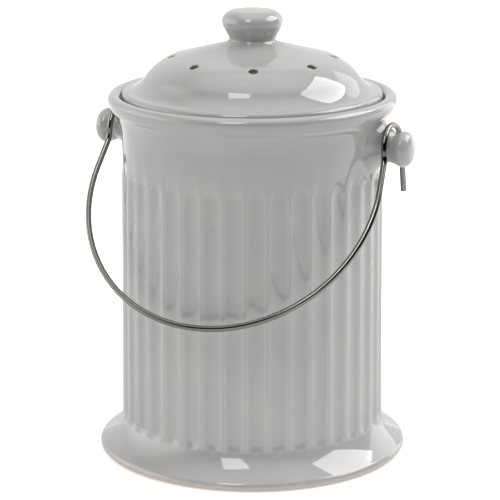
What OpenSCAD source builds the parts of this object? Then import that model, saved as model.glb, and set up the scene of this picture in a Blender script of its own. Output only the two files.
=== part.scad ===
// Ceramic compost crock: a fluted pot with a flared foot and a rolled rim, a
// vented lift-off lid with a charcoal filter inside it, and a wire bail that
// hooks over two lugs. Millimetres, +Z up, origin at the middle of the foot.
// X runs through both lugs, and the bail hangs in front, on the -Y side.

/* [Pot] */
// Diameter of the pot just above its foot
body_d = 159.4; // [150:0.2:176]
// How far the wall leans in on its way up to the neck
draft = 1.2; // [0.6:0.1:3]
// Thickness of the wall
wall_t = 6; // [5:0.25:8]
// Thickness of the floor
floor_t = 7; // [5:0.5:10]
// Radius of the round inside the pot, between its wall and its floor
corner_r = 12; // [6:0.5:20]

/* [Rim] */
// Height of the rim above the table
rim_z = 219.6; // [190:0.2:250]
// How far the rim stands out from the neck
rim_out = 8; // [7:0.1:10]
// Thickness of the lip, between the lid and the edge of the rim
lip_t = 7.9; // [7:0.1:9]
// Height of the flare under the rim, up to the top of the lip
flare_h = 25; // [23:0.2:30]
// Angle between that flare and the vertical
flare_angle = 43; // [36:1:48]

/* [Foot] */
// How far the foot stands out from the pot
foot_out = 13.7; // [10:0.1:18]
// Height of the flare of the foot
foot_h = 20; // [17:0.5:26]
// Slope of the top of the foot
foot_slope = 35; // [28:1:40]
// Height of the blunt edge of the foot
foot_edge_h = 5.6; // [4:0.2:7]
// Width of the ring that the crock stands on
foot_ring_w = 8; // [5:0.5:12]
// Depth of the hollow inside that ring
foot_hollow_h = 2.6; // [1.5:0.1:4]

/* [Flutes] */
// Number of flutes round the pot
flute_count = 38; // [30:2:40]
// Width of one flute
flute_w = 10.4; // [7:0.1:11.4]
// Depth of one flute at its middle
flute_depth = 1.6; // [1:0.1:2.2]
// Height of the lowest point of a flute, in the flare of the foot
flute_low_z = 15.4; // [13:0.2:19]
// Distance of the tops of the flutes below the rim
flute_drop = 44.6; // [42:0.2:70]

/* [Lid] */
// Clearance round the lid, inside the lip
lid_gap = 0.8; // [0.3:0.05:1.5]
// Depth of the ledge that carries the lid below the rim
ledge_drop = 5.6; // [4.5:0.2:8]
// Thickness of the flange round the lid
flange_t = 7.4; // [6:0.2:9]
// Width of the flat brim round the dome
brim_w = 4.2; // [3:0.2:7]
// Height of the dome above the flange, up to the seat of the knob
dome_h = 28.3; // [24:0.2:34]
// Slope of the side of the dome
side_slope = 56; // [50:1:60]
// Slope of the top of the dome
crown_slope = 14.5; // [12:0.5:17]
// Thickness of the dome
dome_t = 5.6; // [4.5:0.1:7]
// Depth of the spigot that keeps the lid centred
spigot_h = 8; // [5:0.5:12]
// Clearance round the spigot, in the mouth of the pot
spigot_gap = 1.2; // [0.5:0.1:3]
// Thickness of the spigot
spigot_t = 6.5; // [5:0.25:8]

/* [Vents] */
// Number of vent holes
vent_count = 8; // [6:1:10]
// Diameter of a vent hole
vent_d = 5.6; // [3:0.1:8]
// Diameter of the circle that the vent holes stand on
vent_ring_d = 97; // [80:1:112]

/* [Knob] */
// Diameter of the knob
knob_d = 36.4; // [34:0.2:44]
// Diameter of the neck of the knob
knob_neck_d = 27.8; // [24:0.2:31]
// Diameter of the base of the knob
knob_base_d = 31.2; // [30:0.2:38]
// Height of the knob above the dome
knob_h = 19.4; // [16:0.1:24]

/* [Lugs] */
// Distance of the lugs below the rim
lug_drop = 27.6; // [24:0.2:34]
// Diameter of the root, where a lug grows out of the wall
root_d = 32.8; // [29:0.4:34]
// Height of the middle of the root above the middle of the lug
root_rise = 2; // [0:0.25:3]
// Slope of the root where a hook bears on it
root_slope = 34; // [25:1:40]
// Diameter of the neck inside a hook
lug_neck_d = 16.8; // [14:0.2:18.6]
// Diameter of the button at the end
button_d = 21.4; // [20:0.2:24]
// Length of a lug beyond the middle of its hook
lug_end_l = 13; // [11.5:0.1:18]

/* [Bail] */
// Diameter of the wire
wire_d = 3.6; // [2.5:0.1:4]
// Radius of a hook, to the middle of the wire
hook_r = 13.8; // [13:0.1:15]
// Clearance between a hook and the root that it hangs on
hook_gap = 0.45; // [0.3:0.05:0.8]
// Distance from the edge of the rim out to the middle of a hook
hook_out = 2.2; // [1.2:0.1:4]
// Angle by which a hook is twisted, so that its tail stands away from the pot
hook_twist = 6; // [0:0.5:8]
// Length of the tail behind a hook
tail_l = 28.5; // [10:0.5:34]
// Length of the straight leg in front of a hook
leg_l = 16; // [13:0.5:26]
// Radius of the bend between a hook and its leg
leg_bend_r = 10; // [8:0.5:16]
// Angle between the leg and the vertical
bail_lean = 40; // [38:0.5:50]
// Angle of half of the large round
half_round = 95; // [92:0.5:98]

/* [Filter] */
// Thickness of the charcoal pad
filter_t = 10; // [6:0.5:11]
// Clearance round the pad
filter_gap = 0.3; // [0.2:0.05:1]

/* [Hidden] */
$fn = 96;
glaze = "gainsboro";

// ---- Curves ----------------------------------------------------------------
// Outlines are lists of [radius, height]. An angle is 0 outwards and 90 upwards.

// Where the line through p at angle a meets the line through q at angle b
function meet(p, a, q, b) =
    p + [cos(a), sin(a)] * ((q[0] - p[0]) * sin(b) - (q[1] - p[1]) * cos(b)) / sin(b - a);

// The round that leaves p at angle a and comes to q at angle b, without p itself
function ease(p, a, q, b, n = 6) =
    let (corner = meet(p, a, q, b), c = p + 0.55 * (corner - p), d = q + 0.55 * (corner - q))
    [for (i = [1:n]) let (t = i / n, s = 1 - t)
        s * s * s * p + 3 * s * s * t * c + 3 * s * t * t * d + t * t * t * q];

// ---- Pot -------------------------------------------------------------------

body_r = body_d / 2;
neck_r = body_r - draft;
rim_r = neck_r + rim_out;
foot_r = body_r + foot_out;
gallery_r = rim_r - lip_t;            // bore that the lid sits in
mouth_r = neck_r - wall_t;
floor_z = foot_hollow_h + floor_t;
neck_z = rim_z - flare_h;             // the neck starts to curve out here
ledge_z = rim_z - ledge_drop;
flute_top_z = rim_z - flute_drop;
draft_end_z = flute_top_z + 4;        // the wall stands upright from here to the neck
draft_angle = atan(draft / (draft_end_z - foot_h));

// Foot, from the middle of its hollow round to the wall
function foot_outline() =
    let (ring_out = foot_r - 0.68 * foot_edge_h, ring_in = ring_out - foot_ring_w,
         widest = [foot_r, 0.54 * foot_edge_h], top = [foot_r - 0.25 * foot_edge_h, foot_edge_h])
    concat(
        [[0, foot_hollow_h], [ring_in - foot_hollow_h, foot_hollow_h], [ring_in, 0], [ring_out, 0]],
        ease([ring_out, 0], 0, widest, 90),
        ease(widest, 90, top, 180 - foot_slope, 3),
        ease(top, 180 - foot_slope, [body_r, foot_h], 90));

// Neck and rolled lip, from the wall up over the rim and down to the ledge
function rim_outline() =
    let (round = lip_t / 2,
         flare_end = [rim_r - 0.64 * round, rim_z - 2.5 * round],
         flare_up = 90 - flare_angle)
    concat(
        [[neck_r, draft_end_z], [neck_r, neck_z]],
        ease([neck_r, neck_z], 90, flare_end, flare_up, 8),
        ease(flare_end, flare_up, [rim_r, rim_z - round], 90, 4),
        ease([rim_r, rim_z - round], 90, [rim_r - round, rim_z], 180, 5),
        ease([rim_r - round, rim_z], 180, [gallery_r, rim_z - round], -90, 5),
        [[gallery_r, ledge_z]]);

// Inside of the pot, from the ledge down to the middle of the floor
function inside_outline() =
    let (low_r = body_r - wall_t, round = wall_t / 4)
    concat(
        [[mouth_r + round, ledge_z]],
        ease([mouth_r + round, ledge_z], 180, [mouth_r, ledge_z - round], -90, 3),
        [[mouth_r, draft_end_z], [low_r, floor_z + corner_r]],
        ease([low_r, floor_z + corner_r], -90, [low_r - corner_r, floor_z], 180),
        [[0, floor_z]]);

// One flute: a round-ended rod, leaned to follow the draft of the wall
module flute_cutter() {
    sagitta = flute_depth - body_r * (1 - cos(asin(flute_w / 2 / body_r)));
    rod_r = (pow(flute_w / 2, 2) + sagitta * sagitta) / (2 * sagitta);
    rod_x = body_r - flute_depth + rod_r;
    arch = sqrt(rod_r * rod_r - pow(rod_x - body_r, 2));
    low = flute_low_z + 1.7 * arch;   // the flare of the foot makes the lower end longer
    high = flute_top_z - arch;
    translate([rod_x, 0, low])
    rotate([0, -draft_angle, 0]) {
        sphere(rod_r);
        cylinder(r = rod_r, h = high - low);
        translate([0, 0, high - low]) sphere(rod_r);
    }
}

module crock_body() {
    color(glaze)
    difference() {
        rotate_extrude() polygon(concat(foot_outline(), rim_outline(), inside_outline()));
        for (i = [0:flute_count - 1])
            rotate([0, 0, -90 + (i + 0.5) * 360 / flute_count]) flute_cutter();
    }
}

// ---- Bail ------------------------------------------------------------------

hook_x = rim_r + hook_out;
lug_z = rim_z - lug_drop;
hook_rise = 1;                        // short straight between a leg's bend and its hook

// Half of the bail as a bending table, from the middle of the large round:
// [straight length, turn about the wire, angle of the bend, radius of the bend]
function bail_table(round_r) = [
    [0, 0, half_round, round_r],
    [leg_l, 90, bail_lean, leg_bend_r],
    [hook_rise, 180 - hook_twist, 180, hook_r],
    [tail_l, 0, 0, 0]];

// A frame that travels along the wire: its place, and its x, y and z directions
function turned(f, a) = [f[0], f[1] * cos(a) + f[2] * sin(a), f[2] * cos(a) - f[1] * sin(a), f[3]];
function along(f, l) = [f[0] + f[3] * l, f[1], f[2], f[3]];
function bent(f, a, r) =
    [f[0] + f[1] * r * (1 - cos(a)) + f[3] * r * sin(a),
     f[1] * cos(a) - f[3] * sin(a), f[2], f[3] * cos(a) + f[1] * sin(a)];
function bend_start(f, row) = turned(along(f, row[0]), row[1]);
function travelled(f, table, n) =
    n == 0 ? f
    : let (row = table[n - 1]) bent(bend_start(travelled(f, table, n - 1), row), row[2], row[3]);

// The frame that the bend of a hook starts from, with the large round at the origin
start = [[0, 0, 0], [0, sin(bail_lean), cos(bail_lean)], [0, -cos(bail_lean), sin(bail_lean)], [1, 0, 0]];
function hook_frame(round_r) =
    let (table = bail_table(round_r)) bend_start(travelled(start, table, 2), table[2]);
function hook_middle(round_r) = let (f = hook_frame(round_r)) f[0] + f[1] * hook_r;

// The large round takes up the width that the hooks and legs leave
round_r = (hook_x - hook_middle(0)[0]) / sin(half_round);
bail_start = [0, -hook_middle(round_r)[1], lug_z - hook_middle(round_r)[2]];
// Top of a hook: distance from the pot's axis, and height above the lug's axis
hook_top_x = hook_x + hook_r * hook_frame(0)[3][0];
hook_top_h = hook_r * hook_frame(0)[3][2];

// Wire bent row by row: it runs along +Z and bends towards +X. A straight is a
// hair thicker than the bends and laps over their ends, which makes one solid.
hair = 0.004;
lap = 0.1;
module wire(table) {
    row = table[0];
    rest = [for (i = [1:1:len(table) - 1]) table[i]];
    if (row[0] > 0)
        translate([0, 0, -lap])
        cylinder(d = wire_d + hair, h = row[0] + (row[2] > 0 ? 2 : 1) * lap, $fn = 24);
    translate([0, 0, row[0]])
    rotate([0, 0, row[1]]) {
        if (row[2] > 0)
            translate([row[3], 0, 0])
            rotate([90, 0, 180])
            rotate_extrude(angle = row[2]) translate([row[3], 0]) circle(d = wire_d, $fn = 24);
        if (len(rest) > 0)
            translate([row[3] * (1 - cos(row[2])), 0, row[3] * sin(row[2])])
            rotate([0, row[2], 0])
            wire(rest);
    }
}

module bail_handle() {
    color("silver")
    for (side = [0, 1])
        mirror([side, 0, 0])
        translate(bail_start)
        rotate([0, 90, 0]) rotate([0, 0, 180 - bail_lean])
        wire(bail_table(round_r));
}

// ---- Lugs ------------------------------------------------------------------
// Outlines are lists of [radius, distance from the pot's axis].

lug_end_x = hook_x + lug_end_l;
lug_in_x = neck_r - wall_t / 2;       // a lug starts inside the wall, then the pot is cut away

// The root, about its own middle. A hook bears on its slope.
function root_outline() =
    let (reach = wire_d / 2 + hook_gap, out = 90 + root_slope,
         seat = [hook_top_h - root_rise - reach * cos(root_slope), hook_top_x - reach * sin(root_slope)],
         end = seat + 5.2 * [cos(out), sin(out)],
         foot = [root_d / 2, neck_r + 0.5])
    concat([[0, lug_in_x], [root_d / 2, lug_in_x], foot], ease(foot, 150, seat, out), [end, [0, end[1]]]);

// The neck and the button
function button_outline() =
    let (neck = lug_neck_d / 2, button = button_d / 2, widest = [button, lug_end_x - 6],
         flare_end = widest - [0.3, 1.6], edge = [button - 2.6, lug_end_x - 1.7])
    concat(
        [[0, lug_in_x], [neck, lug_in_x], [neck, hook_x - 1.2]],
        ease([neck, hook_x - 1.2], 90, flare_end, 65),
        ease(flare_end, 65, widest, 90, 2),
        ease(widest, 90, edge, 145),
        ease(edge, 145, [0, lug_end_x], 180, 5));

module lug(side) {
    color(glaze)
    difference() {
        for (piece = [[0, button_outline()], [root_rise, root_outline()]])
            translate([0, 0, lug_z + piece[0]])
            rotate([0, side * 90, 0])
            rotate_extrude() polygon(piece[1]);
        // The pot without its hollow, to seat the lug against its wall
        rotate_extrude() polygon(concat([[0, 0], [body_r, 0], [body_r, foot_h]], rim_outline(), [[0, ledge_z]]));
    }
}

module lug_left() {
    lug(-1);
}

module lug_right() {
    lug(1);
}

// ---- Lid -------------------------------------------------------------------

lid_r = gallery_r - lid_gap;
flange_z = ledge_z + flange_t;        // top of the flange
seat_z = flange_z + dome_h;           // seat of the knob
spigot_r = mouth_r - spigot_gap;
spigot_z = ledge_z - spigot_h;
filter_bore_r = spigot_r - spigot_t;
filter_top_z = spigot_z + filter_t + 0.5;
seat_r = knob_base_d / 2;
seat_angle = 148;                     // the fillet under the knob crosses the seat at this angle
side_up = 180 - side_slope;
crown_up = 180 - crown_slope;
shoulder = [0.8 * lid_r + 1.6, flange_z + 0.275 * dome_h];
brow = [0.6 * lid_r + 0.4, flange_z + 0.7 * dome_h];

// Outside of the lid, from the edge of the flange to the seat of the knob
function dome_outline() =
    let (round = 0.25 * flange_t, brim = [lid_r - brim_w, flange_z],
         cap = [seat_r + 6, brow[1] + (brow[0] - seat_r - 6) * tan(crown_slope)])
    concat(
        [[lid_r, ledge_z], [lid_r, flange_z - round]],
        ease([lid_r, flange_z - round], 90, [lid_r - round, flange_z], 180, 4),
        [brim],
        ease(brim, 180, shoulder, side_up),
        ease(shoulder, side_up, brow, crown_up),
        [cap],
        ease(cap, crown_up, [seat_r, seat_z], seat_angle, 4),
        [[0, seat_z]]);

// Inside of the lid, from the middle of the ceiling down to the spigot
function ceiling_outline() =
    let (top_z = seat_z - 1.2 * dome_t, brow_in = brow - [2, 1.07 * dome_t],
         side_r = filter_bore_r - 4, side_z = shoulder[1] - dome_t)
    concat(
        [[0, top_z], [seat_r, top_z]],
        ease([seat_r, top_z], 0, brow_in, -crown_slope - 8),
        ease(brow_in, -crown_slope - 8, [side_r, side_z], -90),
        [[side_r, filter_top_z], [filter_bore_r, filter_top_z], [filter_bore_r, spigot_z],
         [spigot_r - 1, spigot_z], [spigot_r, spigot_z + 1], [spigot_r, ledge_z]]);

module lid_dome() {
    color(glaze)
    difference() {
        rotate_extrude() polygon(concat(dome_outline(), ceiling_outline()));
        for (i = [0:vent_count - 1])
            rotate([0, 0, -90 + (i + 0.5) * 360 / vent_count])
            translate([vent_ring_d / 2, 0, brow[1]])
            rotate([0, crown_slope + 4, 0])
            cylinder(d = vent_d, h = 4 * dome_t, center = true, $fn = 32);
    }
}

// The knob, from its base up to the middle of its top
function knob_outline() =
    let (knob = knob_d / 2,
         neck = [knob_neck_d / 2, 0.12 * knob_h],
         under = [knob - 1, 0.44 * knob_h],
         taper = atan2(0.28 * knob_h, under[0] - neck[0]),
         widest = [knob, 0.63 * knob_h],
         over = [0.7 * knob, 0.965 * knob_h])
    concat(
        [[0, 0], [seat_r, 0]],
        ease([seat_r, 0], seat_angle, neck, 90, 4),
        ease(neck, 90, under, taper, 4),
        ease(under, taper, widest, 90, 4),
        ease(widest, 90, over, 166),
        ease(over, 166, [0, knob_h], 180, 4));

module lid_knob() {
    color(glaze)
    translate([0, 0, seat_z])
    rotate_extrude()
    polygon(knob_outline());
}

// ---- Filter ----------------------------------------------------------------

module charcoal_filter() {
    r = filter_bore_r - filter_gap;
    edge = 0.08 * filter_t;
    color("dimgray")
    translate([0, 0, filter_top_z - filter_t])
    rotate_extrude()
    polygon([[0, 0], [r - edge, 0], [r, edge], [r, filter_t - edge], [r - edge, filter_t], [0, filter_t]]);
}

crock_body();
lug_left();
lug_right();
lid_dome();
lid_knob();
charcoal_filter();
bail_handle();
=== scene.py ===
"""Dresses the compost crock: glazed pot, lugs and lid, charcoal pad, wire bail, studio and camera.

The classes hold their sizes in millimetres, and a mesh turns them into metres when it is made.
Z is up the axis of the pot, X runs through both lugs, and the bail hangs in front, on the -Y side.
An outline is a list of (radius, height) points, and an angle on it is 0 outwards and 90 upwards.
"""

from __future__ import annotations

import logging
import math
from collections.abc import Iterable, Sequence
from dataclasses import dataclass, field
from enum import Enum

import bpy
from mathutils import Matrix, Vector, noise

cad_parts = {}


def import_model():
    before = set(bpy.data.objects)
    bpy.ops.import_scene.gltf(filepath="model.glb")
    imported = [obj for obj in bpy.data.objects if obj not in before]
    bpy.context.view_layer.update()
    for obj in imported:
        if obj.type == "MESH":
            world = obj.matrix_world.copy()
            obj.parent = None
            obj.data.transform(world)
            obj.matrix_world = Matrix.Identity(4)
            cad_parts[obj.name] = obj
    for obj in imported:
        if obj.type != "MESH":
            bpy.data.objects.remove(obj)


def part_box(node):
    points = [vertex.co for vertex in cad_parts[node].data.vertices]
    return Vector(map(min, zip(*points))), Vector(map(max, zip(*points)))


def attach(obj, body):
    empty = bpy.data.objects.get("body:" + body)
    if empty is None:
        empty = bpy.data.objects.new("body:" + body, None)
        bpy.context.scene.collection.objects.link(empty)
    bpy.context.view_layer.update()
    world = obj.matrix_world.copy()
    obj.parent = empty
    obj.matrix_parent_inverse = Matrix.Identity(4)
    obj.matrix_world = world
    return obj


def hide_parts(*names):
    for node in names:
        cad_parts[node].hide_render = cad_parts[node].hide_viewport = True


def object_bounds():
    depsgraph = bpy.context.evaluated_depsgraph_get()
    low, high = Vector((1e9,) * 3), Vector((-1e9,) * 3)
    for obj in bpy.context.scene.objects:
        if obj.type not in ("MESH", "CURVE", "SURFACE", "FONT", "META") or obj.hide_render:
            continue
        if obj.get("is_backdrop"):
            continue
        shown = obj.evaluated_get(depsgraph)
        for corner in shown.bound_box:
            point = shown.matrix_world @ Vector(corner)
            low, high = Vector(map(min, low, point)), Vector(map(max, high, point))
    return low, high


LOG = logging.getLogger("crock")

MM = 0.001  # metres in a millimetre

Point = tuple[float, float]
Point3 = tuple[float, float, float]
Outline = list[Point]


class Body(Enum):
    """The bodies of the frame that the pieces ride on."""

    CROCK = "crock"
    LID = "lid"
    FILTER = "filter"
    BAIL = "bail"


class Mark(Enum):
    """The places on a piece that its glaze treats apart: thin glaze with a painted highlight, and painted shade."""

    THIN_AND_HIGHLIGHT = "thin_glaze_and_highlight"
    BORE_SHADE = "bore"


# ---- Outlines --------------------------------------------------------------


def heading(degrees: float) -> Point:
    """Returns the unit step at an angle on an outline."""
    return math.cos(math.radians(degrees)), math.sin(math.radians(degrees))


def meet(p: Point, a: float, q: Point, b: float) -> Point:
    """Finds where the line through p at angle a meets the line through q at angle b.

    Args:
        p: A point on the first line.
        a: Angle of the first line, in degrees.
        q: A point on the second line.
        b: Angle of the second line, in degrees.

    Returns:
        The point that both lines share.
    """
    across, up = heading(b)
    reach = ((q[0] - p[0]) * up - (q[1] - p[1]) * across) / math.sin(math.radians(b - a))
    return p[0] + reach * heading(a)[0], p[1] + reach * heading(a)[1]


def ease(p: Point, a: float, q: Point, b: float, steps: int = 16) -> Outline:
    """Draws the round that leaves p at angle a and comes to q at angle b.

    Args:
        p: Start of the round.
        a: Angle at which the round leaves p, in degrees.
        q: End of the round.
        b: Angle at which the round comes to q, in degrees.
        steps: Number of points.

    Returns:
        The points of the round, without p itself.
    """
    corner = meet(p, a, q, b)
    pull = 0.55
    c = [p[k] + pull * (corner[k] - p[k]) for k in (0, 1)]
    d = [q[k] + pull * (corner[k] - q[k]) for k in (0, 1)]
    points = []
    for i in range(1, steps + 1):
        t = i / steps
        s = 1 - t
        points.append(tuple(s**3 * p[k] + 3 * s * s * t * c[k] + 3 * s * t * t * d[k] + t**3 * q[k] for k in (0, 1)))
    return points


def refine(outline: Outline, longest: float, low: float, high: float) -> Outline:
    """Divides the stretches of an outline that lie between two heights.

    Args:
        outline: The outline to divide.
        longest: Greatest length that a stretch may keep.
        low: Height above which stretches are divided.
        high: Height below which stretches are divided.

    Returns:
        The outline with the points that it had and the new ones.
    """
    points = [outline[0]]
    for p, q in zip(outline, outline[1:]):
        inside = low <= (p[1] + q[1]) / 2 <= high
        parts = math.ceil(math.dist(p, q) / longest) if inside else 1
        points += [(p[0] + (q[0] - p[0]) * i / parts, p[1] + (q[1] - p[1]) * i / parts) for i in range(1, parts + 1)]
    return points


def read_off(table: Sequence[Point], key: float) -> float:
    """Reads a value off a table of (key, value) pairs that is sorted by its keys.

    Args:
        table: The pairs, with rising keys.
        key: The key to read at.

    Returns:
        The value between the two nearest pairs, or that of the first or last pair beyond them.
    """
    if key <= table[0][0]:
        return table[0][1]
    for (k0, v0), (k1, v1) in zip(table, table[1:]):
        if key <= k1:
            return v0 + (v1 - v0) * (key - k0) / (k1 - k0) if k1 > k0 else v1
    return table[-1][1]


def soft_least(a: float, b: float, round_off: float) -> float:
    """Returns the lesser of a and b, with the corner between them rounded off."""
    near = max(round_off - abs(a - b), 0) / round_off
    return min(a, b) - near * near * round_off / 4


def soft_most(a: float, b: float, round_off: float) -> float:
    """Returns the greater of a and b, with the corner between them rounded off."""
    return -soft_least(-a, -b, round_off)


# ---- Meshes ----------------------------------------------------------------


class Skin:
    """A mesh that is built ring by ring, in millimetres."""

    def __init__(self) -> None:
        """Starts with no points and no faces."""
        self.points: list[Vector] = []
        self.faces: list[tuple[int, ...]] = []

    def ring(self, points: Iterable[Sequence[float]]) -> list[int]:
        """Adds points.

        Args:
            points: Their places, in order round the ring.

        Returns:
            The numbers of the new points.
        """
        first = len(self.points)
        self.points += [Vector(p) for p in points]
        return list(range(first, len(self.points)))

    def bridge(self, a: Sequence[int], b: Sequence[int]) -> None:
        """Joins two closed rings of as many points with a band of faces.

        Args:
            a: The numbers of the first ring's points.
            b: Those of the second.
        """
        for i in range(len(a)):
            k = (i + 1) % len(a)
            self.faces.append((a[i], a[k], b[k], b[i]))

    def cap(self, ring: Sequence[int], middle: Sequence[float]) -> None:
        """Closes a ring with a fan of faces round a point in its middle.

        Args:
            ring: The numbers of the ring's points.
            middle: Place of the middle.
        """
        hub = self.ring([middle])[0]
        for i in range(len(ring)):
            self.faces.append((ring[i], ring[(i + 1) % len(ring)], hub))

    def revolve(self, outline: Outline, columns: int) -> None:
        """Turns an outline round the Z axis. Both its ends may lie on the axis.

        Args:
            outline: The outline, from one end to the other.
            columns: Number of steps round the axis.
        """
        turns = [heading(360 * i / columns) for i in range(columns)]
        rings = [self.ring([(r * c, r * s, z) for c, s in turns]) for r, z in outline if r > 0]
        for a, b in zip(rings, rings[1:]):
            self.bridge(a, b)
        if outline[0][0] <= 0:
            self.cap(rings[0][::-1], (0, 0, outline[0][1]))
        if outline[-1][0] <= 0:
            self.cap(rings[-1], (0, 0, outline[-1][1]))

    def build(self, name: str) -> bpy.types.Object:
        """Makes the Blender object, smooth and with its faces turned outwards.

        Args:
            name: Name of the piece.

        Returns:
            The new object, in metres.
        """
        mesh = bpy.data.meshes.new(name)
        mesh.from_pydata([p * MM for p in self.points], [], self.faces)
        mesh.validate()
        obj = bpy.data.objects.new(name, mesh)
        bpy.context.scene.collection.objects.link(obj)
        turn_outwards(mesh)
        mesh.shade_smooth()
        return obj


def turn_outwards(mesh: bpy.types.Mesh) -> None:
    """Flips a closed mesh whose faces point inwards.

    Args:
        mesh: The mesh, with its faces all the same way round.
    """
    volume = 0.0
    for face in mesh.polygons:
        corners = [mesh.vertices[v].co for v in face.vertices]
        for i in range(1, len(corners) - 1):
            volume += corners[0].dot(corners[i].cross(corners[i + 1]))
    if volume < 0:
        mesh.flip_normals()


def mark(obj: bpy.types.Object, place: Mark, shares: dict[int, float]) -> None:
    """Marks a place on a piece for its finish.

    Args:
        obj: The piece.
        place: The place.
        shares: How far each point is in that place, by its number. It is 0 at the points left out.
    """
    layer = obj.data.attributes.new(place.value, "FLOAT", "POINT")
    layer.data.foreach_set("value", [shares.get(i, 0.0) for i in range(len(obj.data.vertices))])


def dress(obj: bpy.types.Object, body: Body, node: str, material: bpy.types.Material) -> None:
    """Gives a finished piece its place in the frame and its material.

    Args:
        obj: The piece.
        body: The body that it rides on.
        node: The node of the frame that it stands for.
        material: The material.
    """
    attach(obj, body.value)
    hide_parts(node)
    obj.data.materials.clear()
    obj.data.materials.append(material)
    LOG.info("%s: %d points, rides on %s", obj.name, len(obj.data.vertices), body.value)


# ---- Finishes --------------------------------------------------------------


def linear(code: str) -> tuple[float, float, float, float]:
    """Turns an sRGB hex colour into the linear colour that a shader takes."""
    parts = [int(code[i : i + 2], 16) / 255 for i in (1, 3, 5)]
    return (*[p / 12.92 if p <= 0.04045 else ((p + 0.055) / 1.055) ** 2.4 for p in parts], 1.0)


def per_mm(size: float) -> float:
    """Returns the texture scale at which one cell of a pattern is this many millimetres wide."""
    return 1 / (size * MM)


def add_node(
    tree: bpy.types.NodeTree,
    kind: str,
    settings: dict[str | int, object] | None = None,
    links: dict[str | int, bpy.types.NodeSocket] | None = None,
) -> bpy.types.Node:
    """Adds a node with its settings and links.

    Args:
        tree: The node tree.
        kind: The node's type, such as "ShaderNodeTexNoise".
        settings: Values by the name or number of an input, or by the name of a property.
        links: Outputs of other nodes, by the name or number of the input that each feeds.

    Returns:
        The new node.
    """
    node = tree.nodes.new(kind)
    for key, value in (settings or {}).items():
        if isinstance(key, int) or key in node.inputs:
            node.inputs[key].default_value = value
        else:
            setattr(node, key, value)
    for key, output in (links or {}).items():
        tree.links.new(output, node.inputs[key])
    return node


def new_tree(name: str) -> tuple[bpy.types.Material, bpy.types.NodeTree]:
    """Makes a material with an empty node tree.

    Args:
        name: Name of the material.

    Returns:
        The material and its tree.
    """
    material = bpy.data.materials.new(name)
    material.use_nodes = True
    material.node_tree.nodes.clear()
    return material, material.node_tree


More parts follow.
